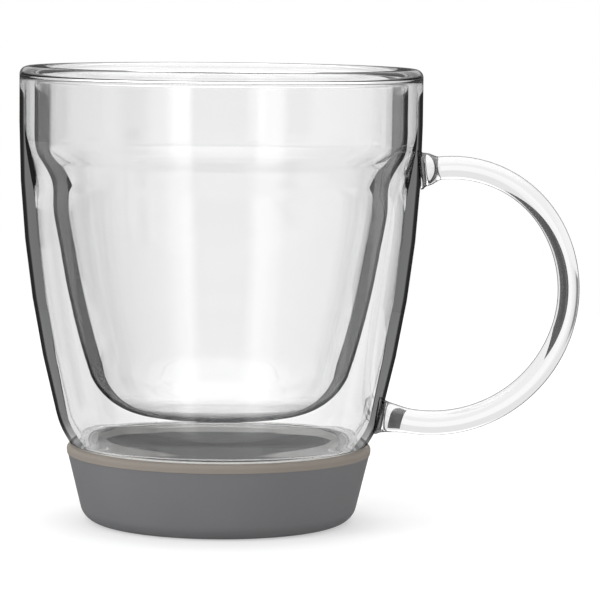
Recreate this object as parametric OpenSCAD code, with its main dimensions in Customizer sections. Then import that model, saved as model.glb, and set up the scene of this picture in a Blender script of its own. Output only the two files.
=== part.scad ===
// Double walled glass cup with a drawn rod handle and a soft silicone boot.
// Two blown walls are fused together at the rim, with still air between them:
// the drink touches only the liner, and the hand only the outer shell.
// Z is up, the origin is the middle of the boot's underside, and the handle
// points along +X.

/* [Outer shell] */
// Widest outside diameter of the glass
body_d = 94; // [78:0.5:112]
// Height from the table to the top of the rim
cup_h = 106.5; // [88:0.5:128]
// Height of the straight side, from the rim's top down to the belly
straight_h = 15.5; // [12:0.5:20]
// Height over which the wall thickens below the straight side
thick_run = 17; // [12:0.5:22]
// How far the belly draws in from the straight side to the shoulder
shoulder_in = 10; // [8:0.1:12]
// Height of the shoulder above the boot's lip
shoulder_rise = 4.6; // [4:0.1:5.6]
// Wall of the shell over its belly
shell_wall = 3; // [2.2:0.1:3.6]
// Wall of the shell near the rim, where the glass is drawn thin
lip_wall = 1.2; // [0.9:0.1:1.8]

/* [Glass foot] */
// How far the shell draws in below its shoulder, to the edge of its ledge
ledge_in = 2; // [1.6:0.1:2.4]
// How much the ledge over the boot rises towards its edge
ledge_rise = 0.2; // [0.1:0.05:0.3]
// Thickness of the glass at the ledge's edge
ledge_wall = 1.9; // [1.6:0.1:2.4]
// Width of the ledge, from its edge in to the neck that stands in the boot
neck_in = 4; // [3.4:0.1:4.6]
// How far the shelf inside falls from the wall of the shell to the well
shelf_fall = 1.6; // [1.2:0.1:1.8]
// How far the foot tapers in from the neck to its heel
foot_in = 2.1; // [1.5:0.1:3]
// Wall of the foot
foot_wall = 2.4; // [1.8:0.1:2.8]
// Diameter of the vent hole in the foot's floor
vent_d = 3; // [2:0.1:4]
// Diameter of the melted button that closes the vent
vent_button_d = 8; // [6:0.2:10]
// Height of the melted button
vent_button_h = 1.4; // [0.8:0.1:1.7]

/* [Liner] */
// Air gap between the two walls below the rim
air_gap = 2.3; // [1.8:0.1:3]
// Wall of the liner's side
liner_wall = 3.3; // [2.4:0.1:3.9]
// Wall of the liner's floor, where the glass is blown thinnest
bowl_wall = 1.5; // [1.2:0.1:2.4]
// Height over which the liner's wall thickens above its floor
bowl_thick_run = 14.3; // [10:0.1:18]
// Depth of the straight mouth, from the rim's top down to the step
mouth_depth = 20.9; // [17:0.1:25]
// How far the liner steps in below its mouth
step_in = 3.4; // [2.4:0.1:4.4]
// Height over which the liner steps in
step_h = 7; // [5.6:0.1:9]
// How far the liner tapers in from its step to its waist
waist_in = 5.3; // [4.2:0.1:6.4]
// Height of the waist above the underside of the liner
waist_rise = 24.3; // [20:0.1:29]
// How far the liner draws in from its waist to the corner of its floor
bowl_in = 7; // [5.6:0.1:8.4]
// Inside radius of the round between the liner's side and floor
bowl_round = 12.2; // [9:0.1:14.6]
// Air between the underside of the liner and the floor of the foot
air_below = 20.3; // [16:0.1:24]

/* [Rim] */
// Height of the fused rim
rim_h = 3; // [2.4:0.1:3.6]
// Radius of the rim's outer edge
rim_outer_round = 1.9; // [1:0.1:2]
// Radius of the rim's inner edge
rim_inner_round = 1.5; // [0.8:0.1:1.9]

/* [Handle] */
// Diameter of the drawn rod at its upper end
rod_d = 5.4; // [4.4:0.1:6.4]
// Diameter of the rod half way, where it is drawn thinnest
rod_thin_d = 5.1; // [4.2:0.1:6]
// Diameter of the rod at its lower end
rod_low_d = 5.8; // [4.8:0.1:6.8]
// Depth of the upper root below the rim's top
upper_root_depth = 23.4; // [19:0.1:28]
// Angle at which the rod leaves the upper root
upper_root_rise = 6; // [3:0.5:9]
// Height of the rod's lower end above the shoulder
lower_root_rise = 1.2; // [0.9:0.1:3]
// Length of the upper root bead
upper_bead_len = 4.6; // [3.8:0.1:6]
// How much the upper bead swells past the rod, in radius
upper_bead_swell = 0.8; // [0.4:0.05:1.1]
// How far the upper bead spreads where it melts onto the wall, in radius
upper_bead_flare = 1.9; // [1:0.1:2.4]
// How much the lower bead swells past the rod, in radius
lower_bead_swell = 0.35; // [0.1:0.05:0.8]
// How far the lower bead spreads where it melts onto the wall, in radius
lower_bead_flare = 1.5; // [0.8:0.1:1.8]

/* [Silicone boot] */
// Height of the boot with its lip
boot_h = 18.1; // [15:0.1:22]
// Thickness of the boot under the glass foot
boot_floor = 3; // [2.4:0.1:3.8]
// Wall of the boot's side just below the lip
boot_wall = 4; // [3.2:0.1:4.8]
// How far the boot's side draws in from the lip to its heel
boot_in = 3.9; // [3:0.1:4.4]
// Gap between the boot and the side and ledge of the glass
boot_gap = 0.2; // [0.15:0.05:0.3]
// Height of the rounded lip
lip_h = 2.2; // [1.8:0.1:3]
// How far the lip stands out from the side
lip_proud = 0.2; // [0.15:0.05:0.3]
// Radius of the lip's outer edge
lip_outer_round = 1; // [0.7:0.05:1.3]
// Radius of the lip's inner edge
lip_inner_round = 0.3; // [0.2:0.05:0.4]
// Radius of the round under the boot
boot_round = 4.2; // [3:0.1:5]
// Gap round the vent's button in the boot's floor
pocket_gap = 0.5; // [0.3:0.1:0.7]

/* [Hidden] */
$fn = 96;
// How far a flat run may cut off a curve of an outline
curve_tol = 0.01;
// Overrun of a shape that is cut away
cut = 1;
// Share of the belly's height that each tangent of its long curve takes
belly_share = 0.466;
// How sharply the three bends of the rod turn, in degrees
grip_turns = [65, 48.3, 81.9];
// Radii of the three bends, as shares of the lowest and widest one
grip_bend_shares = [0.844, 0.947, 1];
// Inside radius of the slow bend at the shoulder
shoulder_inner_round = 17;
// Radius of the round at the ledge's edge, and of the hollow where it meets
// the neck
ledge_round = 1;
neck_round = 0.6;
// Radius of both rounds of the shelf inside
shelf_round = 0.8;
// Inside radius of the round at the heel of the foot
heel_inner_round = 2;
// Inside radius of the round where the liner's mouth ends, and of its foot
step_inner_round = 5;
step_foot_round = 8;
// Inside radius of the slow bend at the liner's waist
waist_inner_round = 140;
// How much tighter the boot's heel is rounded than the glass
heel_ease = 0.4;
// Radius of the step under the lip, as a share of how far the lip stands out
lip_step_share = 1.2;
// How far a bead is carried into the wall before the wall is cut from it
bead_sink = 3;
// Rings along a bead
bead_rings = 12;
// Sides of the whole circle that the rim's arch is cut with
arch_sides = 24;
// Rings along the rod in degrees of its bends, and sides of a ring
rod_ring_turn = 4;
rod_sides = 24;

seam_z = cup_h - rim_h;
belly_z = cup_h - straight_h;
thick_z = belly_z - thick_run;
shoulder_z = boot_h + shoulder_rise;
neck_z = boot_h + boot_gap;
ledge_z = neck_z + ledge_rise;
shelf_z = ledge_z + ledge_wall;
well_z = shelf_z - shelf_fall;
foot_floor_z = boot_floor + foot_wall;
lip_z = boot_h - lip_h;
bowl_z = foot_floor_z + air_below;
waist_z = bowl_z + waist_rise;
step_z = cup_h - mouth_depth;
step_foot_z = step_z - step_h;
upper_root_z = cup_h - upper_root_depth;
rod_end_z = shoulder_z + lower_root_rise;

body_r = body_d / 2;
shoulder_r = body_r - shoulder_in;
ledge_r = shoulder_r - ledge_in;
neck_r = ledge_r - neck_in;
foot_r = neck_r - foot_in;
liner_r = body_r - lip_wall - air_gap;
mouth_r = liner_r - liner_wall;
step_foot_r = liner_r - step_in;
waist_r = step_foot_r - waist_in;
bowl_r = waist_r - bowl_in;
rod_r = rod_d / 2;
rod_thin_r = rod_thin_d / 2;
rod_low_r = rod_low_d / 2;
vent_r = vent_d / 2;
button_r = vent_button_d / 2;
glass_colour = [0.86, 0.9, 0.91];

// Outlines: a corner is [radius, height, round], and a point of an outline
// carries the direction that faces away from the axis or down, as
// [radius, height, facing_r, facing_z].

function flat(p) = [p[0], p[1]];
function unit(v) = v / norm(v);
function facing(d) = [-d[1], d[0]];
function turn(a, b) = atan2(a[0] * b[1] - a[1] * b[0], a[0] * b[0] + a[1] * b[1]);

// The arc that rounds one corner, from the run before it to the run after it
function rounded_corner(before, corner, after) =
    let (
        arriving = unit(flat(corner) - flat(before)),
        leaving = unit(flat(after) - flat(corner)),
        sweep = turn(arriving, leaving),
        side = sign(sweep),
        radius = corner[2],
        start = flat(corner) - arriving * radius * tan(abs(sweep) / 2),
        centre = start + facing(arriving) * radius * side,
        steps = max(1, ceil(abs(sweep) / (2 * acos(1 - curve_tol / radius))))
    )
    [
        for (i = [0:steps])
            let (
                a = sweep * i / steps,
                out = facing(arriving),
                away = [
                    out[0] * cos(a) - out[1] * sin(a),
                    out[0] * sin(a) + out[1] * cos(a)
                ],
                p = centre - away * radius * side
            )
            [p[0], p[1], away[0], away[1]]
    ];

// A whole outline, from its first corner to its last, with each one between
// them rounded
function outline(corners) =
    let (
        last = len(corners) - 1,
        first_facing = facing(unit(flat(corners[1]) - flat(corners[0]))),
        last_facing = facing(unit(flat(corners[last]) - flat(corners[last - 1])))
    )
    concat(
        [[corners[0][0], corners[0][1], first_facing[0], first_facing[1]]],
        [
            for (i = [1:last - 1])
                for (p = rounded_corner(corners[i - 1], corners[i], corners[i + 1])) p
        ],
        [[corners[last][0], corners[last][1], last_facing[0], last_facing[1]]]
    );

function outside(path) = [for (p = path) flat(p)];
function reversed(points) = [for (i = [len(points) - 1:-1:0]) points[i]];

// Outer shell: straight under the rim, one long belly curve, a shoulder above
// a ledge that lies over the boot, and a foot that tapers down into the boot
belly_run = (belly_z - shoulder_z) * belly_share;
belly_corner_z = belly_z - belly_run;
belly_lean = atan((body_r - shoulder_r) / (belly_corner_z - shoulder_z));
belly_round = belly_run / tan(belly_lean / 2);
shoulder_lean = atan(ledge_in / (shoulder_z - ledge_z));
foot_lean = atan((neck_r - foot_r) / (neck_z - boot_floor));
heel_round = heel_inner_round + foot_wall;
shell_path = outline([
    [body_r, seam_z],
    [body_r, belly_corner_z, belly_round],
    [shoulder_r, shoulder_z, shoulder_inner_round + shell_wall],
    [ledge_r, ledge_z, ledge_round],
    [neck_r, neck_z, neck_round],
    [foot_r, boot_floor, heel_round],
    [0, boot_floor]
]);

// The wall thickens smoothly from the rim down to the belly. Inside the foot
// the shell has a shelf over its ledge and a round well below it.
function eased(s) = s * s * (3 - 2 * s);
function thickening(z) = eased(max(0, min(1, (belly_z - z) / (belly_z - thick_z))));
function wall_at(z) = lip_wall + (shell_wall - lip_wall) * thickening(z);
function foot_side_r(z) = foot_r + (z - boot_floor) * tan(foot_lean);
function well_r(z) = foot_side_r(z) - foot_wall / cos(foot_lean);
shelf_r = ledge_r + ledge_wall * tan(shoulder_lean) - shell_wall / cos(shoulder_lean);
side_inside = [
    for (p = shell_path)
        if (p[1] > shelf_z)
            [p[0] - wall_at(p[1]) * p[2], p[1] - wall_at(p[1]) * p[3]]
];
foot_inside = outline([
    side_inside[len(side_inside) - 1],
    [shelf_r, shelf_z, shelf_round],
    [well_r(well_z), well_z, shelf_round],
    [well_r(foot_floor_z), foot_floor_z, heel_inner_round],
    [0, foot_floor_z]
]);
shell_inside = concat(
    side_inside,
    [for (i = [1:len(foot_inside) - 1]) flat(foot_inside[i])]
);

// Outside radius of the belly at a height between the shoulder and the rim
function belly_r(z) =
    z > belly_z ? body_r
    : body_r - belly_round + sqrt(belly_round * belly_round - (belly_z - z) * (belly_z - z));

module shell_envelope() {
    rotate_extrude() polygon(concat([[0, seam_z]], outside(shell_path)));
}

module outer_shell() {
    color(glass_colour, 0.35)
        difference() {
            rotate_extrude() polygon(concat(outside(shell_path), reversed(shell_inside)));
            translate([0, 0, boot_floor - cut]) cylinder(r = vent_r, h = foot_wall + 2 * cut);
        }
}

// Liner: a straight mouth, a soft step, a taper that steepens at the waist
// and a round bowl with a thin flat floor
liner_path = outline([
    [liner_r, seam_z],
    [liner_r, step_z, step_inner_round + liner_wall],
    [step_foot_r, step_foot_z, step_foot_round],
    [waist_r, waist_z, waist_inner_round + liner_wall],
    [bowl_r, bowl_z, bowl_round + liner_wall],
    [0, bowl_z]
]);
function liner_wall_at(z) =
    bowl_wall + (liner_wall - bowl_wall) * eased(max(0, min(1, (z - bowl_z) / bowl_thick_run)));
liner_inside = [
    for (p = liner_path)
        [max(0, p[0] - liner_wall_at(p[1]) * p[2]), p[1] - liner_wall_at(p[1]) * p[3]]
];

module inner_cup() {
    color(glass_colour, 0.35)
        rotate_extrude() polygon(concat(outside(liner_path), reversed(liner_inside)));
}

// Rim: the bead of glass that joins the two walls, with both edges rounded.
// The melted glass arches over the air gap between them.
module rim_bead() {
    rim_path = outline([
        [mouth_r, seam_z],
        [mouth_r, cup_h, rim_inner_round],
        [body_r, cup_h, rim_outer_round],
        [body_r, seam_z]
    ]);
    color(glass_colour, 0.35)
        difference() {
            rotate_extrude() polygon(outside(rim_path));
            rotate_extrude()
                translate([liner_r + air_gap / 2, seam_z])
                    circle(d = air_gap, $fn = arch_sides);
        }
}

// Vent seal: a plug of glass melted into the vent, with a domed button below
module vent_seal() {
    dome_r = (button_r * button_r + vent_button_h * vent_button_h) / (2 * vent_button_h);
    color(glass_colour, 0.5)
        translate([0, 0, boot_floor]) {
            cylinder(r = vent_r, h = foot_wall);
            intersection() {
                translate([0, 0, dome_r - vent_button_h]) sphere(r = dome_r);
                translate([0, 0, -dome_r]) cylinder(r = dome_r, h = dome_r);
            }
        }
}

// Handle: a solid rod in three bends, each a little wider than the one above.
// It starts at the outer end of the upper bead, and its size follows from the
// height of the two roots.
upper_root = [belly_r(upper_root_z), upper_root_z];
rod_start = upper_root + upper_bead_len * [cos(upper_root_rise), sin(upper_root_rise)];
heading_2 = upper_root_rise - grip_turns[0];
heading_3 = heading_2 - grip_turns[1];
heading_end = heading_3 - grip_turns[2];
// How far a bend of radius one goes sideways and down
function bend_step(from, to) = [sin(from) - sin(to), cos(to) - cos(from)];
grip_drop =
    -grip_bend_shares[0] * bend_step(upper_root_rise, heading_2)[1]
    - grip_bend_shares[1] * bend_step(heading_2, heading_3)[1]
    - grip_bend_shares[2] * bend_step(heading_3, heading_end)[1];
grip_size = (rod_start[1] - rod_end_z) / grip_drop;
grip_bends = grip_size * grip_bend_shares;
bend_2_start = rod_start + grip_bends[0] * bend_step(upper_root_rise, heading_2);
bend_3_start = bend_2_start + grip_bends[1] * bend_step(heading_2, heading_3);
rod_end = bend_3_start + grip_bends[2] * bend_step(heading_3, heading_end);

// Rings along one bend: [place, heading] from its start, without its end
function bend_rings(start, heading, radius, sweep) =
    let (rings = ceil(sweep / rod_ring_turn))
    [
        for (i = [0:rings - 1])
            let (h = heading - sweep * i / rings)
            [start + radius * bend_step(heading, h), h]
    ];

rod_rings = concat(
    bend_rings(rod_start, upper_root_rise, grip_bends[0], grip_turns[0]),
    bend_rings(bend_2_start, heading_2, grip_bends[1], grip_turns[1]),
    bend_rings(bend_3_start, heading_3, grip_bends[2], grip_turns[2]),
    [[rod_end, heading_end]]
);

// The rod thins towards half way and is thickest at its lower end
function rod_r_at(s) =
    s < 1 / 2 ? rod_r + (rod_thin_r - rod_r) * eased(2 * s)
    : rod_thin_r + (rod_low_r - rod_thin_r) * eased(2 * s - 1);

// A round rod drawn through its rings
module handle() {
    last = len(rod_rings) - 1;
    function ring_point(i, k) =
        let (
            r = rod_r_at(i / last),
            a = 360 * k / rod_sides,
            place = rod_rings[i][0],
            h = rod_rings[i][1]
        )
        [place[0] - r * cos(a) * sin(h), r * sin(a), place[1] + r * cos(a) * cos(h)];
    points = [for (i = [0:last]) for (k = [0:rod_sides - 1]) ring_point(i, k)];
    function at(i, k) = i * rod_sides + k % rod_sides;
    sides = [
        for (i = [0:last - 1])
            for (k = [0:rod_sides - 1])
                for (f = [
                    [at(i, k), at(i, k + 1), at(i + 1, k)],
                    [at(i, k + 1), at(i + 1, k + 1), at(i + 1, k)]
                ]) f
    ];
    upper_end = [for (k = [rod_sides - 1:-1:0]) at(0, k)];
    lower_end = [for (k = [0:rod_sides - 1]) at(last, k)];
    color(glass_colour, 0.5)
        polyhedron(points, concat(sides, [upper_end, lower_end]));
}

// Radius of a root bead at a share of its length: it spreads onto the wall,
// swells, and runs out smoothly into the rod
function bead_r(s, end_r, swell, flare) =
    end_r + flare * pow(1 - s, 4) + swell * pow(sin(180 * pow(s, 0.8)), 2);

// A root bead on the wall. Its axis leaves the root at the given angle, and
// the shell is cut from it, so that it sits face to face on the wall.
module root_bead(root, angle, length, end_r, swell, flare) {
    sections = [for (i = [0:bead_rings]) i / bead_rings];
    color(glass_colour, 0.5)
        difference() {
            translate([root[0], 0, root[1]])
                rotate([0, 90 - angle, 0])
                    rotate_extrude()
                        polygon(concat(
                            [[0, length], [0, -bead_sink], [bead_r(0, end_r, swell, flare), -bead_sink]],
                            [for (s = sections) [bead_r(s, end_r, swell, flare), s * length]]
                        ));
            shell_envelope();
        }
}

module upper_handle_bead() {
    root_bead(
        upper_root, upper_root_rise, upper_bead_len,
        rod_r, upper_bead_swell, upper_bead_flare
    );
}

// The lower bead runs from the rod's end along its heading to the wall
lower_heading = heading_end + 360;
first_reach = (rod_end[0] - belly_r(rod_end[1])) / -cos(lower_heading);
near_root_z = rod_end[1] + first_reach * sin(lower_heading);
lower_bead_len = (rod_end[0] - belly_r(near_root_z)) / -cos(lower_heading);
lower_root = rod_end + lower_bead_len * [cos(lower_heading), sin(lower_heading)];

module lower_handle_bead() {
    root_bead(
        lower_root, lower_heading - 180, lower_bead_len,
        rod_low_r, lower_bead_swell, lower_bead_flare
    );
}

// Silicone boot: its inside follows the glass foot, its lip is a proud
// rounded ring under the glass ledge, and its floor has a pocket for the
// vent's button
side_gap = boot_gap / cos(foot_lean);
boot_lean = atan(boot_in / lip_z);
function boot_side_r(z) =
    foot_side_r(lip_z) + side_gap + boot_wall - (lip_z - z) * tan(boot_lean);

module silicone_base() {
    lip_outer_r = boot_side_r(lip_z) + 2 * lip_proud;
    lip_inner_r = foot_side_r(boot_h) + side_gap;
    step_round = lip_proud * lip_step_share;
    boot_path = outline([
        [0, 0],
        [boot_side_r(0), 0, boot_round],
        [boot_side_r(lip_z), lip_z, step_round],
        [boot_side_r(lip_z) + lip_proud, lip_z + lip_proud, step_round],
        [lip_outer_r, boot_h, lip_outer_round],
        [lip_inner_r, boot_h, lip_inner_round],
        [foot_side_r(boot_floor) + side_gap, boot_floor, heel_round - heel_ease],
        [0, boot_floor]
    ]);
    pocket_h = vent_button_h + pocket_gap;
    color([0.46, 0.46, 0.47])
        difference() {
            rotate_extrude() polygon(outside(boot_path));
            translate([0, 0, boot_floor - pocket_h])
                cylinder(r = button_r + pocket_gap, h = pocket_h + cut);
        }
}

outer_shell();
inner_cup();
rim_bead();
vent_seal();
handle();
upper_handle_bead();
lower_handle_bead();
silicone_base();
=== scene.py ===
# %% [markdown]
# # A double walled glass cup in a silicone boot
# Two blown glass walls are melted together at the rim, with still air between
# them. A drawn glass rod makes the handle, and a soft grey boot keeps the foot
# of the glass off the table. The shapes of clear glass are seen only by what
# they bend and mirror, so this lesson spends as much care on the studio and on
# clean closed meshes as on the materials.

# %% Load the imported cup
import math
import bpy
from mathutils import Euler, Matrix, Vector


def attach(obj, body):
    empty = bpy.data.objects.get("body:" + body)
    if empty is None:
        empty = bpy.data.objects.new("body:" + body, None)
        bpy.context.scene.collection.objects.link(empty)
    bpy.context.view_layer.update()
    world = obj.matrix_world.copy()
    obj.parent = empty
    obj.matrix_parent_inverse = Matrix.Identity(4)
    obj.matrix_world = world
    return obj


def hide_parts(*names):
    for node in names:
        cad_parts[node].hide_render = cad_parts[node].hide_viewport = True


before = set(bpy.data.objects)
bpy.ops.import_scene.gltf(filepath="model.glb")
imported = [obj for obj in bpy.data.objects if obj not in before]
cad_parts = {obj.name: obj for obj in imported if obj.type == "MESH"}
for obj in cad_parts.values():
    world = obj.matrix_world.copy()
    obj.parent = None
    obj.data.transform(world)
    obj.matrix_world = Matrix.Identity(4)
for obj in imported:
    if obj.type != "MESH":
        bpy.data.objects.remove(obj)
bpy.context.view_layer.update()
bpy.ops.object.select_all(action="DESELECT")

# %% [markdown]
# ## The camera
# The cup was photographed from a little above its rim with a long lens, which
# keeps its sides nearly upright. The width of the rim's ellipse against the
# width of the boot's gives the height and the distance of the camera. The real
# cup leans by about half a degree, as hand blown glass does. The part stands
# upright, so the camera is rolled by that much instead.

# %% Place the camera
CAMERA_AT = Vector((0.01877, -0.79, 0.1283))
CAMERA_TILT = math.radians(5.5)
CAMERA_ROLL = math.radians(0.6)
LENS = 203.0
SENSOR = 36
NEAREST = 0.01

tilted = Euler((math.pi / 2 - CAMERA_TILT, 0, 0)).to_matrix()
rolled = Euler((0, 0, CAMERA_ROLL)).to_matrix()
bpy.ops.object.camera_add(location=CAMERA_AT, rotation=(tilted @ rolled).to_euler())
camera = bpy.context.object
camera.name = "photo_camera"
camera.data.lens = LENS
camera.data.sensor_width = SENSOR
camera.data.clip_start = NEAREST
bpy.context.scene.camera = camera
print("Camera", round(CAMERA_AT.length, 3), "m from the boot, lens", LENS, "mm")

# %% [markdown]
# ## The studio
# Clear glass is photographed against a bright background with dark boards just
# outside the picture. Light that goes straight through stays white, and light
# that the thick edges of the glass bend sideways comes from the boards, so it
# draws the dark outlines. The whole studio and all the finishes are node
# trees, so the first helpers start a tree, add a node with its links, and add
# one step of arithmetic.

# %% Helpers for node trees
def shader_tree(name):
    """A new material with an empty tree."""
    material = bpy.data.materials.new(name)
    material.use_nodes = True
    tree = material.node_tree
    tree.nodes.clear()
    return material, tree


def add(tree, kind, inputs=None, **settings):
    """Adds a node; an input is given a value, or another node's output."""
    node = tree.nodes.new(kind)
    for key, value in settings.items():
        setattr(node, key, value)
    for key, value in (inputs or {}).items():
        if isinstance(value, bpy.types.NodeSocket):
            tree.links.new(value, node.inputs[key])
        else:
            node.inputs[key].default_value = value
    return node


def math_node(tree, operation, *values):
    """A Math node; returns its output."""
    return add(tree, "ShaderNodeMath", dict(enumerate(values)), operation=operation).outputs[0]


# %% [markdown]
# The panels are drawn on the world by direction, as a brightness that changes
# round the cup, because light that glass has bent or mirrored meets them at no
# one distance. A fade changes softly from one brightness to another, a blend
# mixes two by a share, and a ring is a colour ramp over the whole turn.

# %% Helpers for light
def fade(tree, value, start, end, first, last):
    """A smooth change from first to last as a value goes from start to end."""
    return add(
        tree, "ShaderNodeMapRange",
        {"Value": value, "From Min": start, "From Max": end, "To Min": first, "To Max": last},
        interpolation_type="SMOOTHSTEP",
    ).outputs["Result"]


def blend(tree, share, first, last):
    """First where the share is 0, last where it is 1."""
    return add(tree, "ShaderNodeMix", {0: share, 2: first, 3: last}).outputs[0]


def panel_ring(tree, around, stops):
    """Brightness by azimuth, through stops of (azimuth, brightness)."""
    ramp = add(tree, "ShaderNodeValToRGB", {"Fac": around})
    marks = ramp.color_ramp.elements
    while len(marks) < len(stops):
        marks.new(1.0)
    for mark, (azimuth, light) in zip(marks, stops):
        mark.position = azimuth / 360
        mark.color = (light, light, light, 1)
    return ramp.outputs["Color"]


# %% [markdown]
# Straight behind the cup the ring is bright, a little less so at one side, and
# so it is at the cup's own sides. Between them stand grey panels, which only
# the bent edges of the walls pick up. Two bright strips behind the camera draw
# the tall highlights. A lower ring serves a view that looks down, and has its
# grey panels where such a view's bent edges look. What the first surface
# mirrors is nearly black behind the cup, so the outline of the glass is dark.

# %% Write down the rings
GREY, BLACK, STRIP = 0.17, 0.08, 1.5
# (azimuth in degrees from +X towards +Y, brightness), joined by straight ramps
FRONT_PANELS = [
    (244, STRIP), (252, STRIP), (255, 0.6), (291, 0.6), (294, STRIP), (306, STRIP), (310, 0.85), (360, 0.9),
]
LEVEL_RING = [
    (0, 0.9), (44, 0.9), (46, GREY), (61, GREY), (63, 0.75), (76, 0.93), (84, 0.96), (88, 1.0),
    (94, 1.0), (97, 0.92), (100, 0.87), (104, 0.86), (117, 0.68), (119, GREY), (136, GREY), (138, 0.6),
    (150, 0.6), (152, 0.85), (207, 0.85), (209, GREY), (226, GREY), (228, 0.85), (241, 0.85), *FRONT_PANELS,
]
LOWER_RING = [
    (0, 0.9), (7, 0.9), (9, GREY), (17, GREY), (19, 0.9), (167, 0.9), (169, GREY), (184, GREY),
    (186, 0.9), (243, 0.9), *FRONT_PANELS,
]
MIRROR_RING = [(0, 0.9), (28, 0.7), (36, BLACK), (236, BLACK), (241, 0.8), *FRONT_PANELS]
print("Stops:", len(LEVEL_RING), "level,", len(LOWER_RING), "lower,", len(MIRROR_RING), "mirrored")

# %% [markdown]
# A world has no surface, but each ray that reaches it has a direction. Its Z
# gives the height of the ray in degrees, and its X and Y give the azimuth, here
# as a share of the whole turn, which is what a colour ramp reads.

# %% Find where each ray is going
world = bpy.data.worlds.new("white_backdrop")
bpy.context.scene.world = world
world.use_nodes = True
sky = world.node_tree
sky.nodes.clear()
ray = add(sky, "ShaderNodeLightPath").outputs
toward = add(sky, "ShaderNodeTexCoord").outputs["Generated"]
toward = add(sky, "ShaderNodeSeparateXYZ", {0: toward}).outputs
height = math_node(sky, "DEGREES", math_node(sky, "ARCSINE", toward["Z"]))
around = math_node(sky, "ARCTAN2", toward["Y"], toward["X"])
around = math_node(sky, "DIVIDE", around, 2 * math.pi)
around = math_node(sky, "FRACT", math_node(sky, "ADD", around, 1.0))
print("The direction takes", len(sky.nodes), "nodes")

# %% [markdown]
# Above the rings the backdrop is an even light with a softbox overhead, and far
# below them it is the light of the table. Light Path tells the rays apart: the
# camera sees plain white, matt surfaces get an even dome, and only glass sees
# the rings. A ray that has gone through glass counts as a glossy one too, so
# what it sees is mixed in after what the glass mirrors.

# %% Paint the backdrop
LOWER_RING_FROM, LOWER_RING_TO = -8.5, -10.5
UPPER_FROM, UPPER_TO, UPPER_LIGHT = 3.0, 9.0, 0.8
TABLE_WHITE_FROM, TABLE_WHITE_TO, TABLE_LIGHT = -32.0, -42.0, 0.9
SOFTBOX_FROM, SOFTBOX_TO, SOFTBOX_LIGHT = 35.0, 60.0, 3.5
DOME_LIGHT = 0.8

low = fade(sky, height, LOWER_RING_TO, LOWER_RING_FROM, 1.0, 0.0)
through = blend(sky, low, panel_ring(sky, around, LEVEL_RING), panel_ring(sky, around, LOWER_RING))
mirrored = panel_ring(sky, around, MIRROR_RING)
for share, light in [
    (fade(sky, height, UPPER_FROM, UPPER_TO, 0.0, 1.0), UPPER_LIGHT),
    (fade(sky, height, TABLE_WHITE_TO, TABLE_WHITE_FROM, 1.0, 0.0), TABLE_LIGHT),
    (fade(sky, height, SOFTBOX_FROM, SOFTBOX_TO, 0.0, 1.0), SOFTBOX_LIGHT),
]:
    through = blend(sky, share, through, light)
    mirrored = blend(sky, share, mirrored, light)

strength = blend(sky, ray["Is Glossy Ray"], DOME_LIGHT, mirrored)
strength = blend(sky, ray["Is Transmission Ray"], strength, through)
strength = blend(sky, ray["Is Camera Ray"], strength, 1.0)
backdrop = add(sky, "ShaderNodeBackground", {"Color": (1, 1, 1, 1), "Strength": strength})
add(sky, "ShaderNodeOutputWorld", {"Surface": backdrop.outputs[0]})
print("The backdrop has", len(sky.nodes), "nodes")

# %% [markdown]
# ## The table
# The cup stands on a plain pale table, which has to be as white as the backdrop
# and still hold the cup's soft shadow. Its paint is pale and matt, and it glows
# a little for the camera, which lifts all but the shadow to white. For a ray
# that glass has bent or mirrored the table is clear, so that ray meets the
# backdrop below it.

# %% Lay the table
TABLE_RADIUS = 0.5
TABLE_SIDES = 96
TABLE_COLOUR = 0.6
TABLE_GLOW = 0.45

bpy.ops.mesh.primitive_circle_add(vertices=TABLE_SIDES, radius=TABLE_RADIUS, fill_type="NGON")
table = bpy.context.object
table.name = "table"
bpy.ops.object.mode_set(mode="EDIT")
bpy.ops.mesh.inset(thickness=TABLE_RADIUS / 3)
bpy.ops.object.mode_set(mode="OBJECT")

table_paint, tree = shader_tree("table_paint")
ray = add(tree, "ShaderNodeLightPath").outputs
diffuse = add(tree, "ShaderNodeBsdfDiffuse", {"Color": (TABLE_COLOUR,) * 3 + (1,)})
glow = math_node(tree, "MULTIPLY", ray["Is Camera Ray"], TABLE_GLOW)
glow = add(tree, "ShaderNodeEmission", {"Strength": glow})
both = add(tree, "ShaderNodeAddShader", {0: diffuse.outputs[0], 1: glow.outputs[0]})
clear = add(tree, "ShaderNodeBsdfTransparent")
seen = add(tree, "ShaderNodeMixShader", {
    0: math_node(tree, "MAXIMUM", ray["Is Transmission Ray"], ray["Is Glossy Ray"]),
    1: both.outputs[0], 2: clear.outputs[0],
})
add(tree, "ShaderNodeOutputMaterial", {"Surface": seen.outputs[0]})
table.data.materials.append(table_paint)
print("table:", len(table.data.polygons), "faces")

# %% [markdown]
# ## Two dark cards
# A thick rod of glass gathers what stands behind it into a bent patch. A tall
# card beyond the loop draws the dark crescent in the handle, and a small one
# behind the lower root draws the dark patch in the rod there. Only light that
# has gone through glass meets them, so they cast nothing and are never seen
# straight.

# %% Stand the cards
CARD_LIGHT = 0.08
CARDS = [
    # name, left, right, distance behind the handle, bottom, top
    ("dark_card", 0.085, 0.115, 0.04, 0.03, 0.105),
    ("root_card", 0.0388, 0.0421, 0.01, 0.017, 0.027),
]

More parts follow.
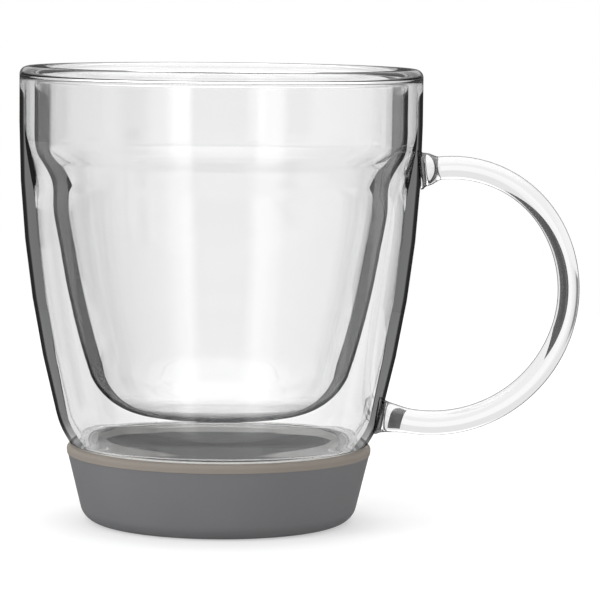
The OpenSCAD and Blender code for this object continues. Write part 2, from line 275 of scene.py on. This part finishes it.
card_paint, tree = shader_tree("card_paint")
shade = add(tree, "ShaderNodeEmission", {"Strength": CARD_LIGHT})
add(tree, "ShaderNodeOutputMaterial", {"Surface": shade.outputs[0]})
for name, left, right, behind, low, high in CARDS:
    middle = ((left + right) / 2, behind, (low + high) / 2)
    bpy.ops.mesh.primitive_plane_add(size=1, rotation=(math.pi / 2, 0, 0), location=middle)
    card = bpy.context.object
    card.name = name
    card.scale = (right - left, high - low, 1)
    bpy.ops.object.transform_apply(location=True, rotation=True, scale=True)
    card.visible_camera = card.visible_diffuse = False
    card.visible_glossy = card.visible_shadow = False
    card.data.materials.append(card_paint)
    print(name, "is", round(right - left, 4), "m wide and", round(high - low, 3), "m tall")

# %% [markdown]
# ## The lamps
# Three soft lamps light the silicone: a strong one on the left, a weak warm one
# on the right, and one overhead, which also gives the shadow under the boot.
# Glass would mirror their square shapes, so only matt surfaces see them.

# %% Hang the lamps
LAMP_TARGET = Vector((0, 0, 0.05))
LAMPS = [
    # name, azimuth from the camera, elevation, distance, width, height, watts, colour
    ("left_softbox", -52, 22, 0.85, 0.42, 0.6, 2.6, (0.96, 0.98, 1.0)),
    ("right_softbox", 38, 20, 0.85, 0.34, 0.6, 0.25, (1.0, 0.96, 0.9)),
    ("top_softbox", 180, 78, 0.9, 0.6, 0.6, 2.5, (1.0, 1.0, 1.0)),
]

for name, azimuth, elevation, distance, width, tall, watts, colour in LAMPS:
    a, e = math.radians(azimuth), math.radians(elevation)
    away = Vector((math.sin(a) * math.cos(e), -math.cos(a) * math.cos(e), math.sin(e)))
    bpy.ops.object.light_add(
        type="AREA", location=LAMP_TARGET + away * distance,
        rotation=away.to_track_quat("Z", "Y").to_euler(),
    )
    lamp = bpy.context.object
    lamp.name = name
    lamp.data.shape = "RECTANGLE"
    lamp.data.size, lamp.data.size_y = width, tall
    lamp.data.energy = watts
    lamp.data.color = colour
    lamp.visible_camera = lamp.visible_glossy = lamp.visible_transmission = False
    print(name, watts, "W")

# %% [markdown]
# ## Outlines
# Everything here except the handle is turned about one axis, so it starts as
# an outline: corners in the plane of the axis, each with the radius that
# rounds it. The helper walks along the corners and gives points close enough
# together for smooth glass, each with the direction that faces outwards, so
# that a wall's inner side can be stepped in from its outer side.

# %% Helpers for outlines
MM = 0.001
ROUND_STEP = math.radians(3)
LONGEST_RUN = 1.6


def outline(corners):
    """Points (r, z, facing r, facing z) in mm along corners (r, z, round)."""
    line = []

    def go(r, z, facing):
        if line:
            start = line[-1]
            length = math.hypot(r - start[0], z - start[1])
            if length < 1e-6:
                return
            parts = max(1, math.ceil(length / LONGEST_RUN))
            for i in range(1, parts):
                line.append((start[0] + (r - start[0]) * i / parts,
                             start[1] + (z - start[1]) * i / parts, *facing))
        line.append((r, z, *facing))

    for i, corner in enumerate(corners):
        here = Vector(corner[:2])
        into = (here - Vector(corners[i - 1][:2])).normalized() if i else None
        last = i == len(corners) - 1
        out = (Vector(corners[i + 1][:2]) - here).normalized() if not last else None
        if into is None or out is None:
            way = out or into
            go(*here, (-way.y, way.x))
            continue
        sweep = math.atan2(into.x * out.y - into.y * out.x, into.dot(out))
        side = math.copysign(1, sweep)
        start = here - into * corner[2] * math.tan(abs(sweep) / 2)
        centre = start + Vector((-into.y, into.x)) * corner[2] * side
        steps = max(2, math.ceil(abs(sweep) / ROUND_STEP))
        for k in range(steps + 1):
            a = sweep * k / steps
            facing = (-into.y * math.cos(a) - into.x * math.sin(a),
                      -into.y * math.sin(a) + into.x * math.cos(a))
            go(centre.x - facing[0] * corner[2] * side,
               centre.y - facing[1] * corner[2] * side, facing)
    return line


def stepped_in(line, wall):
    """The inner side of a wall whose thickness may change with its height."""
    return [(max(0, r - wall(z) * fr), z - wall(z) * fz, fr, fz) for r, z, fr, fz in line]


print("A square corner rounded by 5 mm is", len(outline([(0, 0, 0), (5, 0, 5), (5, 5, 0)])), "points")


# %% [markdown]
# ## Turning
# A glass blower shapes the walls on a lathe, and the meshes are made the same
# way. One point is extruded from place to place along the outline, and spin
# carries that line once round the axis. Merging what lies together then closes
# the seam and the poles, and the normals are made to point one way.

# %% Helpers for turning
TURN_STEPS = 144


def draw(name, line):
    """A new object with one edge after another along an outline."""
    bpy.ops.object.select_all(action="DESELECT")
    bpy.ops.mesh.primitive_plane_add(size=MM)
    piece = bpy.context.object
    piece.name = piece.data.name = name
    bpy.ops.object.mode_set(mode="EDIT")
    bpy.ops.mesh.merge(type="CENTER")
    at = Vector((0, 0, 0))
    for i, point in enumerate(line):
        to = Vector((point[0], 0, point[1])) * MM
        step = {"value": to - at}
        if i:
            bpy.ops.mesh.extrude_vertices_move(TRANSFORM_OT_translate=step)
        else:
            bpy.ops.transform.translate(**step)
        at = to
    bpy.ops.object.mode_set(mode="OBJECT")
    return piece


def turn(piece, inside=False):
    """Turns an outline once round the axis and closes its poles."""
    bpy.context.view_layer.objects.active = piece
    bpy.ops.object.mode_set(mode="EDIT")
    bpy.ops.mesh.select_all(action="SELECT")
    bpy.ops.mesh.spin(steps=TURN_STEPS, angle=2 * math.pi, center=(0, 0, 0), axis=(0, 0, 1))
    bpy.ops.mesh.select_all(action="SELECT")
    bpy.ops.mesh.remove_doubles(threshold=1e-6)
    bpy.ops.mesh.normals_make_consistent(inside=inside)
    bpy.ops.object.mode_set(mode="OBJECT")
    bpy.ops.object.shade_smooth()
    piece.select_set(False)
    return piece


# %% [markdown]
# ## The thickness of the walls
# Blown glass is thin where it was stretched most: under the rim of the shell
# and at the floor of the bowl. Two small functions say how far a value has
# gone between two ends, straight or softly, and the thickness of each wall is
# a soft change with height.

# %% Say how thick the walls are
LIP_WALL, SHELL_WALL, BELLY_Z, THICK_Z = 1.2, 3, 91, 74
BOWL_WALL, LINER_WALL, BOWL_THIN_Z, BOWL_THICK_Z = 1.5, 3.3, 25.7, 40


def reached(value, start, end):
    """The share of the way from start to end that a value has gone."""
    return max(0, min(1, (value - start) / (end - start)))


def eased(value, start, end):
    """The same share, with a soft start and a soft end."""
    s = reached(value, start, end)
    return s * s * (3 - 2 * s)


def shell_wall(z):
    """Thickness of the shell at a height."""
    return LIP_WALL + (SHELL_WALL - LIP_WALL) * eased(z, BELLY_Z, THICK_Z)


def liner_wall(z):
    """Thickness of the liner at a height."""
    return BOWL_WALL + (LINER_WALL - BOWL_WALL) * eased(z, BOWL_THIN_Z, BOWL_THICK_Z)


for z in (100, 80, 60, 30):
    print("At", z, "mm: shell", round(shell_wall(z), 2), "mm, liner", round(liner_wall(z), 2), "mm")

# %% [markdown]
# ## The outlines of the glass
# On the real cup the shell, the liner and the rim are blown apart and melted
# into one. The light must not meet a hidden seam between them, so one closed
# mesh stands for all of them: its outside runs from the foot over the rim into
# the bowl, and its inside is the wall of the air gap. The gap has a round arch
# under the rim. Low down it steps in at a nearly flat shelf over the boot and
# reaches on into the foot.

# %% Draw the outlines of the glass
CUP_H, BODY_R, MOUTH_R, LINER_R = 106.5, 47, 40.2, 43.5
RIM_Z = CUP_H - 3
FOOT_Z, SHELF_Z, BOWL_Z = 3, 20.4, 25.7
GAP_TOP = 104.65
ARCH_STEPS = 16

shell_side = [
    (BODY_R, 59.17, 268), (37.4, 22.5, 20), (35, 18.5, 1), (31, 18.3, 0.6),
    (28.9, FOOT_Z, 4.4), (0, FOOT_Z, 0),
]
foot_inside = [(32.5, 19.4, 0.8), (28.65, 19.0, 0.8), (26.81, 5.4, 2), (0, 5.4, 0)]
liner_side = [
    (43.5, 85.6, 8.3), (40.1, 78.6, 8), (34.8, 50, 143.3), (27.8, BOWL_Z, 15.5), (0, BOWL_Z, 0),
]
shell_line = outline([(BODY_R, RIM_Z, 0), *shell_side])
liner_line = outline([(LINER_R, RIM_Z, 0), *liner_side])
rim_line = outline([
    (MOUTH_R, RIM_Z, 0), (MOUTH_R, CUP_H, 1.5), (BODY_R, CUP_H, 1.9), (BODY_R, RIM_Z, 0),
])
bowl_line = stepped_in(liner_line, liner_wall)
above_shelf = [point for point in shell_line if point[1] > SHELF_Z]
gap_line = stepped_in(above_shelf, shell_wall)
gap_line += outline([gap_line.pop()[:2] + (0,), *foot_inside])
arch = (BODY_R - LIP_WALL - LINER_R) / 2
arch_line = [
    (LINER_R + arch - arch * math.cos(a), RIM_Z + (GAP_TOP - RIM_Z) * math.sin(a))
    for a in (math.pi * i / ARCH_STEPS for i in range(1, ARCH_STEPS))
]
print(len(shell_line), "points down the shell,", len(liner_line), "down the liner")

# %% [markdown]
# ## Notes on the mesh for the dark edges
# Near the side of a wall, light is caught in the glass until it leaves towards
# the boards. That gives a thin dark line and beside it an even grey band, just
# as wide as the wall. A renderer would need very many bounces for it, so each
# point of the mesh notes how edge-on it has to be seen to lie in the line or in
# the band, and the material paints both in as shade. The flat floors and the
# rim have neither, and at the foot the band gets narrow and ends in a paler
# painted band.

# %% A helper that notes the edges
OUTER_LINE, INNER_LINE = 0.2, 0.13
FLAT_FACING, UPRIGHT_FACING = 0.2, 0.45
RIM_FADE_FROM, RIM_FADE_TO = 100, 103
BAND_FROM_Z, BAND_FULL_Z = 94, 84
BAND_NARROWS_Z, BAND_LOW_Z, BAND_LOW_SHARE = 44, 26, 0.76
PALE_Z, PALE_FROM_Z = 19.5, 22.5
LEAST_R = 10


def shell_band(z):
    """Width of the grey band in the shell: as its wall, but narrower at the foot."""
    full = LIP_WALL + (SHELL_WALL - LIP_WALL) * eased(z, BAND_FROM_Z, BAND_FULL_Z)
    return full * (1 - (1 - BAND_LOW_SHARE) * reached(z, BAND_NARROWS_Z, BAND_LOW_Z))


def note_edges(piece, wall):
    """Stores for each point how edge-on its dark line and its grey band start."""
    notes = {"line": [], "band": [], "pale": []}
    for point in piece.data.vertices:
        z = point.co.z / MM
        radius = max(point.co.xy.length / MM, LEAST_R)
        outward = point.normal.xy.dot(point.co.xy) / (radius * MM)
        upright = eased(abs(outward), FLAT_FACING, UPRIGHT_FACING)
        upright *= 1 - eased(z, RIM_FADE_FROM, RIM_FADE_TO)
        inner_share = 1 - wall(z) * abs(outward) / radius
        notes["line"].append(upright * (OUTER_LINE if outward > 0 else INNER_LINE))
        notes["band"].append(upright * (outward > 0) * math.sqrt(1 - inner_share ** 2))
        notes["pale"].append(1 - eased(z, PALE_Z, PALE_FROM_Z))
    for name, values in notes.items():
        layer = piece.data.attributes.new(name, "FLOAT", "POINT")
        layer.data.foreach_set("value", values)
    widest = round(max(notes["band"]), 3)
    print(piece.name, "has", len(notes["band"]), "points, and its widest band starts at", widest)


# %% [markdown]
# ## Turn the walls
# The outside is turned as it is. The air gap gets its normals the other way
# round, so that they too point out of the glass and into the air. Joined, the
# two are one closed wall with a cavity in it.

# %% Turn the walls
outside = draw("glass_walls", list(reversed(bowl_line)) + rim_line[1:-1] + shell_line)
turn(outside)
note_edges(outside, shell_band)
inside = draw("air_gap", list(reversed(liner_line)) + arch_line + gap_line)
turn(inside, inside=True)
note_edges(inside, liner_wall)
bpy.ops.object.select_all(action="DESELECT")
inside.select_set(True)
outside.select_set(True)
bpy.context.view_layer.objects.active = outside
bpy.ops.object.join()
glass_walls = bpy.context.object
print("glass_walls:", len(glass_walls.data.polygons), "faces")

# %% [markdown]
# ## The handle
# The handle is one rod of solid glass, drawn and bent hot. It is thinnest half
# way, where it was stretched most. Its ends were melted onto the shell, which
# left a bead with a foot at each root. One ring of points is carried all along
# it: straight for the beads, and by a short spin at a time round each bend.

# %% Helpers for the rod
ROD_R, ROD_THIN_R, ROD_LOW_R = 2.7, 2.55, 2.9
UPPER_BEAD = {"length": 4.6, "swell": 0.8, "flare": 1.9}
LOWER_BEAD = {"length": 7.15, "swell": 0.35, "flare": 1.5}


def bead_r(s, rod, bead):
    """Radius of a root bead at a share s of the way from the wall."""
    s = max(0, s)
    return rod + bead["flare"] * (1 - s) ** 4 + bead["swell"] * math.sin(math.pi * s ** 0.8) ** 2


def rod_r(s):
    """Radius of the rod at a share s of its loop."""
    if s < 0.5:
        return ROD_R + (ROD_THIN_R - ROD_R) * eased(s, 0, 0.5)
    return ROD_THIN_R + (ROD_LOW_R - ROD_THIN_R) * eased(s, 0.5, 1)


def carry(at, heading, length, old_r, new_r):
    """Extrudes the ring straight on and widens or narrows it."""
    way = Vector((math.cos(heading), 0, math.sin(heading))) * length * MM
    bpy.ops.mesh.extrude_region_move(TRANSFORM_OT_translate={"value": way})
    bpy.ops.transform.resize(value=(new_r / old_r,) * 3, center_override=at + way)
    return at + way


print("The loop's radius goes", [round(rod_r(s), 2) for s in (0, 0.25, 0.5, 0.75, 1)], "mm")

# %% [markdown]
# The rod starts as a circle of points, sunk a little into the shell so that no
# gap shows. The bead is made by carrying that ring away from the wall in short
# steps: the foot flares where the hot glass wetted the shell, and the bead
# swells once before it runs into the rod.

# %% Draw the upper root
RING_SIDES = 40
ROOT_R, ROOT_Z, ROOT_RISE = 46.87, 83.1, 6
BEAD_STEPS = 24
SUNK = 0.6

heading = math.radians(ROOT_RISE)
sunk = Vector((math.cos(heading), 0, math.sin(heading))) * SUNK * MM
at = Vector((ROOT_R, 0, ROOT_Z)) * MM - sunk
radius = bead_r(0, ROD_R, UPPER_BEAD)
bpy.ops.object.select_all(action="DESELECT")
bpy.ops.mesh.primitive_circle_add(
    vertices=RING_SIDES, radius=radius * MM, location=at, rotation=(0, math.pi / 2 - heading, 0)
)
handle = bpy.context.object
handle.name = handle.data.name = "glass_handle"
bpy.ops.object.transform_apply(location=True, rotation=True, scale=True)
bpy.ops.object.mode_set(mode="EDIT")
bpy.ops.mesh.select_all(action="SELECT")
length = (UPPER_BEAD["length"] + SUNK) / BEAD_STEPS
for i in range(1, BEAD_STEPS + 1):
    new_r = bead_r((i * length - SUNK) / UPPER_BEAD["length"], ROD_R, UPPER_BEAD)
    at = carry(at, heading, length, radius, new_r)
    radius = new_r
print("The loop starts at", [round(c / MM, 2) for c in at])

# %% [markdown]
# The loop is three bends of different radius, each as round as hot glass bends
# over a former. A short spin at a time carries the ring round the middle of the
# bend, and a resize about the ring's own middle draws the rod thinner and
# thicker again.

# %% Bend the loop
BENDS = [(65, 27.0), (48.3, 30.3), (81.9, 32.0)]
BEND_STEP = 2.5

gone, whole = 0, sum(turn_by for turn_by, bend_r in BENDS)
for turn_by, bend_r in BENDS:
    steps = math.ceil(turn_by / BEND_STEP)
    step = math.radians(turn_by / steps)
    centre = at + Vector((math.sin(heading), 0, -math.cos(heading))) * bend_r * MM
    for i in range(steps):
        bpy.ops.mesh.spin(steps=1, angle=-step, center=centre, axis=(0, 1, 0))
        heading -= step
        at = centre + Vector((-math.sin(heading), 0, math.cos(heading))) * bend_r * MM
        gone += turn_by / steps
        new_r = rod_r(gone / whole)
        bpy.ops.transform.resize(value=(new_r / radius,) * 3, center_override=at)
        radius = new_r
print("It ends at", [round(c / MM, 2) for c in at], "heading", round(math.degrees(heading), 1))

# %% [markdown]
# The lower root is the same bead run backwards, and longer. The two open ends
# are then filled, which makes the rod one closed solid, and its skin is shaded
# smooth up to those flat ends. The rod carries one value for its dark line.

# %% Draw the lower root
ROD_LINE = 0.35
SHARP_FROM = math.radians(60)

length = (LOWER_BEAD["length"] + SUNK) / BEAD_STEPS
for i in range(1, BEAD_STEPS + 1):
    new_r = bead_r(1 - i * length / LOWER_BEAD["length"], ROD_LOW_R, LOWER_BEAD)
    at = carry(at, heading, length, radius, new_r)
    radius = new_r
bpy.ops.mesh.select_all(action="SELECT")
bpy.ops.mesh.fill_holes(sides=0)
bpy.ops.mesh.normals_make_consistent(inside=False)
bpy.ops.object.mode_set(mode="OBJECT")
bpy.ops.object.shade_smooth_by_angle(angle=SHARP_FROM)
layer = handle.data.attributes.new("line", "FLOAT", "POINT")
layer.data.foreach_set("value", [ROD_LINE] * len(handle.data.vertices))
print("glass_handle:", len(handle.data.polygons), "faces")

# %% [markdown]
# ## The silicone boot
# The boot is moulded in one piece. Its side runs along the glass foot, and its
# lip is a proud soft ring that grips the neck. A round pocket in its floor
# leaves room for the melted button under the glass.

# %% Turn the boot
boot_line = outline([
    (0, 0, 0), (31.6, 0, 4.6), (35.45, 15.9, 0.24), (35.65, 16.1, 0.24),
    (35.85, 18.1, 1), (31.18, 18.1, 0.3), (29.1, 3, 4),
    (4.5, 3, 0.2), (4.5, 1.1, 0.4), (0, 1.1, 0),
])
boot = turn(draw("silicone_boot", boot_line))
print("silicone_boot:", len(boot.data.polygons), "faces")

# %% [markdown]
# ## Glass
# The glass is clear borosilicate, blown and melted by hand, so its skin has a
# faint slow ripple and a trace of haze. Both kinds of glass share it, each with
# its own size, so it is a node group: one slow noise is the height for the
# bump, and its crests are a very little rougher.

# %% The ripple of blown glass
CREST_FROM, CREST_TO, CREST_HAZE = 0.45, 0.75, 0.02

ripple = bpy.data.node_groups.new("blown_ripple", "ShaderNodeTree")
for name, kind, direction in [
    ("Vector", "NodeSocketVector", "INPUT"), ("Size", "NodeSocketFloat", "INPUT"),
    ("Height", "NodeSocketFloat", "OUTPUT"), ("Roughness", "NodeSocketFloat", "OUTPUT"),
]:
    ripple.interface.new_socket(name, in_out=direction, socket_type=kind)
given = add(ripple, "NodeGroupInput").outputs
slow = add(ripple, "ShaderNodeTexNoise", {
    "Vector": given["Vector"], "Scale": given["Size"], "Detail": 2.0, "Roughness": 0.4,
}).outputs["Fac"]
haze = add(ripple, "ShaderNodeMapRange", {
    "Value": slow, "From Min": CREST_FROM, "From Max": CREST_TO, "To Min": 0.0, "To Max": CREST_HAZE,
}).outputs["Result"]
add(ripple, "NodeGroupOutput", {"Height": slow, "Roughness": haze})
print("blown_ripple has", len(ripple.nodes), "nodes")

# %% [markdown]
# The dark line is painted shade in the colour of both kinds of glass, so it is
# a group too. Layer Weight's Facing grows from 0, seen head on, to 1, seen
# edge-on. What it still lacks from 1, divided by the value that the mesh has
# noted, passes 1 where the line ends.

# %% The dark line
LINE_LIGHT = 0.03
LINE_SOFT_FROM, LINE_SOFT_TO = 0.85, 1.1
LEAST_NOTE = 0.001


def edge_on(tree, facing, name):
    """How head-on a point is seen, as a share of what the mesh has noted."""
    noted = add(tree, "ShaderNodeAttribute", attribute_name=name).outputs["Fac"]
    head_on = math_node(tree, "SUBTRACT", 1.0, facing)
    return math_node(tree, "DIVIDE", head_on, math_node(tree, "MAXIMUM", noted, LEAST_NOTE))


dark_line = bpy.data.node_groups.new("dark_line", "ShaderNodeTree")
dark_line.interface.new_socket("Facing", in_out="INPUT", socket_type="NodeSocketFloat")
dark_line.interface.new_socket("Light", in_out="OUTPUT", socket_type="NodeSocketFloat")
line = edge_on(dark_line, add(dark_line, "NodeGroupInput").outputs["Facing"], "line")
# Painted shade: the glass's colour falls to LINE_LIGHT along the edge-on line.
light = fade(dark_line, line, LINE_SOFT_FROM, LINE_SOFT_TO, LINE_LIGHT, 1.0)
add(dark_line, "NodeGroupOutput", {"Light": light})
print("dark_line has", len(dark_line.nodes), "nodes")

# %% [markdown]
# Only the blown walls have the grey band, which is painted shade. Inside it the
# glass is swapped for a grey clear surface. A ray that goes straight on there
# stays inside this one wall, so the band comes out even. The outer line stays
# painted dark in it, and at the foot both are painted paler. One material
# alone needs the band, so its nodes are in that material and not in a group.

# %% The grey band of the walls
BAND_LIGHT, BAND_LINE_LIGHT = 0.44, 0.15
PALE_LIGHT, PALE_LINE_LIGHT = 0.75, 0.4


def banded(tree, facing, body):
    """The glass of the walls, swapped in its band for a grey clear surface of painted shade."""
    pale = add(tree, "ShaderNodeAttribute", attribute_name="pale").outputs["Fac"]
    light = fade(
        tree, edge_on(tree, facing, "line"), LINE_SOFT_FROM, LINE_SOFT_TO,
        blend(tree, pale, BAND_LINE_LIGHT, PALE_LINE_LIGHT), blend(tree, pale, BAND_LIGHT, PALE_LIGHT),
    )
    # The grey clear surface is painted shade, paler at the foot.
    in_wall = add(tree, "ShaderNodeBsdfTransparent", {"Color": light})
    in_band = math_node(tree, "LESS_THAN", edge_on(tree, facing, "band"), 1.0)
    return add(tree, "ShaderNodeMixShader", {0: in_band, 1: body, 2: in_wall.outputs[0]}).outputs[0]


# %% [markdown]
# The glass itself is one Principled shader. It takes a little light over a long
# way through it, which a volume does. Its shadow is light, as that of real
# glass is, because shadow rays meet a clear surface instead.

# %% Melt the two kinds of glass
GLASS_IOR = 1.47
GLASS_TINT = (0.1, 0.14, 0.13, 1)
GLASS_DENSITY = 6.0
RIPPLE_DEPTH = 0.00002
WALL_RIPPLE, ROD_RIPPLE = 60.0, 90.0
SHADOW_LIGHT = (0.93, 0.93, 0.93, 1)


def glass(name, ripple_size, has_band):
    """Clear glass with a ripple, and shade painted into its colour where it is seen edge-on."""
    material, tree = shader_tree(name)
    place = add(tree, "ShaderNodeTexCoord").outputs["Object"]
    skin = add(tree, "ShaderNodeGroup", {"Vector": place, "Size": ripple_size}, node_tree=ripple)
    bump = add(tree, "ShaderNodeBump", {
        "Height": skin.outputs["Height"], "Strength": 1.0, "Distance": RIPPLE_DEPTH,
    })
    facing = add(tree, "ShaderNodeLayerWeight", {"Blend": 0.5}).outputs["Facing"]
    edge = add(tree, "ShaderNodeGroup", {"Facing": facing}, node_tree=dark_line)
    # Its base colour carries the painted shade of the dark line.
    surface = add(tree, "ShaderNodeBsdfPrincipled", {
        "Base Color": edge.outputs["Light"], "Roughness": skin.outputs["Roughness"], "IOR": GLASS_IOR,
        "Transmission Weight": 1.0, "Normal": bump.outputs["Normal"],
    }).outputs[0]
    if has_band:
        surface = banded(tree, facing, surface)
    clear = add(tree, "ShaderNodeBsdfTransparent", {"Color": SHADOW_LIGHT})
    shadow = add(tree, "ShaderNodeLightPath").outputs["Is Shadow Ray"]
    surface = add(tree, "ShaderNodeMixShader", {0: shadow, 1: surface, 2: clear.outputs[0]})
    volume = add(tree, "ShaderNodeVolumeAbsorption", {"Color": GLASS_TINT, "Density": GLASS_DENSITY})
    add(tree, "ShaderNodeOutputMaterial", {"Surface": surface.outputs[0], "Volume": volume.outputs[0]})
    print(name, "has", len(tree.nodes), "nodes")
    return material


wall_glass = glass("blown_glass", WALL_RIPPLE, has_band=True)
rod_glass = glass("drawn_glass", ROD_RIPPLE, has_band=False)

# %% [markdown]
# ## Silicone
# The boot is matt grey silicone. Its lip, told apart by height, is painted a
# warmer, lighter grey for the light that falls on its rounded top and comes
# through the glass. On top of the lip, under the edge of the glass, a pale ring
# of painted light stands for the light that is caught in the thick glass there,
# which shows as a white ring.

# %% Colour the silicone
LIP_Z, LIP_EDGE_LOW, LIP_EDGE_HIGH = 0.016, 0.0001, 0.0002
SILICONE = (0.184, 0.184, 0.19, 1)
LIT_LIP_COLOUR = (0.287, 0.255, 0.223, 1)
CAUGHT_LIGHT_R, CAUGHT_LIGHT_EDGE = 0.0335, 0.0004
CAUGHT_LIGHT_COLOUR = (0.8, 0.79, 0.77, 1)

silicone, tree = shader_tree("moulded_silicone")
place = add(tree, "ShaderNodeTexCoord").outputs["Object"]
height = add(tree, "ShaderNodeSeparateXYZ", {0: place}).outputs["Z"]
lip = add(tree, "ShaderNodeMapRange", {
    "Value": height, "From Min": LIP_Z - LIP_EDGE_LOW, "From Max": LIP_Z + LIP_EDGE_HIGH,
}).outputs["Result"]
# The lip is painted a lighter, warmer grey for the light that falls on it.
tone = add(tree, "ShaderNodeMix", {0: lip, 6: SILICONE, 7: LIT_LIP_COLOUR}, data_type="RGBA").outputs[2]
flat = add(tree, "ShaderNodeVectorMath", {0: place, 1: (1, 1, 0)}, operation="MULTIPLY").outputs[0]
from_axis = add(tree, "ShaderNodeVectorMath", {0: flat}, operation="LENGTH").outputs["Value"]
# A pale ring of painted light on top of the lip, under the edge of the glass.
caught_light = math_node(tree, "MULTIPLY", lip, fade(tree, from_axis, CAUGHT_LIGHT_R, CAUGHT_LIGHT_R + CAUGHT_LIGHT_EDGE, 1.0, 0.0))
tone = add(tree, "ShaderNodeMix", {0: caught_light, 6: tone, 7: CAUGHT_LIGHT_COLOUR}, data_type="RGBA").outputs[2]
print("The lip starts at", LIP_Z, "m")

# %% [markdown]
# A moulded silicone skin is soft to the eye because its grain is too fine to
# be seen, so the grain is only a bump. Slow clouds change the tone and the
# roughness by a few hundredths, which keeps the grey from looking painted.

# %% Give the silicone its skin
CLOUD_SIZE, CLOUD_FROM, CLOUD_TO = 70.0, 0.3, 0.7
GRAIN_SIZE, GRAIN_DEPTH, GRAIN_STRENGTH = 3500.0, 0.00005, 0.5
TONE_RANGE, ROUGH_RANGE = (0.97, 1.03), (0.62, 0.74)
SILICONE_IOR = 1.41


def clouded(value, least, most):
    """A change over the surface between two values, in slow clouds."""
    return add(tree, "ShaderNodeMapRange", {
        "Value": value, "From Min": CLOUD_FROM, "From Max": CLOUD_TO, "To Min": least, "To Max": most,
    }).outputs["Result"]


cloud = add(tree, "ShaderNodeTexNoise", {
    "Vector": place, "Scale": CLOUD_SIZE, "Detail": 3.0,
}).outputs["Fac"]
grain = add(tree, "ShaderNodeTexNoise", {
    "Vector": place, "Scale": GRAIN_SIZE, "Detail": 2.0,
}).outputs["Fac"]
patchy = clouded(cloud, *TONE_RANGE)
matt = clouded(cloud, *ROUGH_RANGE)
tone = add(tree, "ShaderNodeVectorMath", {0: tone, "Scale": patchy}, operation="SCALE").outputs[0]
bump = add(tree, "ShaderNodeBump", {
    "Height": grain, "Strength": GRAIN_STRENGTH, "Distance": GRAIN_DEPTH,
})
skin = add(tree, "ShaderNodeBsdfPrincipled", {
    "Base Color": tone, "Roughness": matt, "IOR": SILICONE_IOR, "Normal": bump.outputs["Normal"],
})
add(tree, "ShaderNodeOutputMaterial", {"Surface": skin.outputs[0]})
print("moulded_silicone has", len(tree.nodes), "nodes")

# %% [markdown]
# ## Dress the pieces
# Each piece gets its material, rides on the body that moves it, and says which
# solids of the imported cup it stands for.

# %% Dress the pieces
glass_walls.data.materials.append(wall_glass)
handle.data.materials.append(rod_glass)
boot.data.materials.append(silicone)

for piece, body, slot, nodes in [
    (glass_walls, "glass", "shell_glass", ["outer_shell", "inner_cup", "rim_bead", "vent_seal"]),
    (handle, "glass", "handle_glass", ["handle", "upper_handle_bead", "lower_handle_bead"]),
    (boot, "base", "silicone", ["silicone_base"]),
]:
    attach(piece, body)
    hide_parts(*nodes)
    print(piece.name, "rides on", body, "and stands for", len(nodes), "solids")

# %% [markdown]
# ## Colours
# The standard view shows each colour as it was written.

# %% Finish
bpy.context.scene.view_settings.view_transform = "Standard"
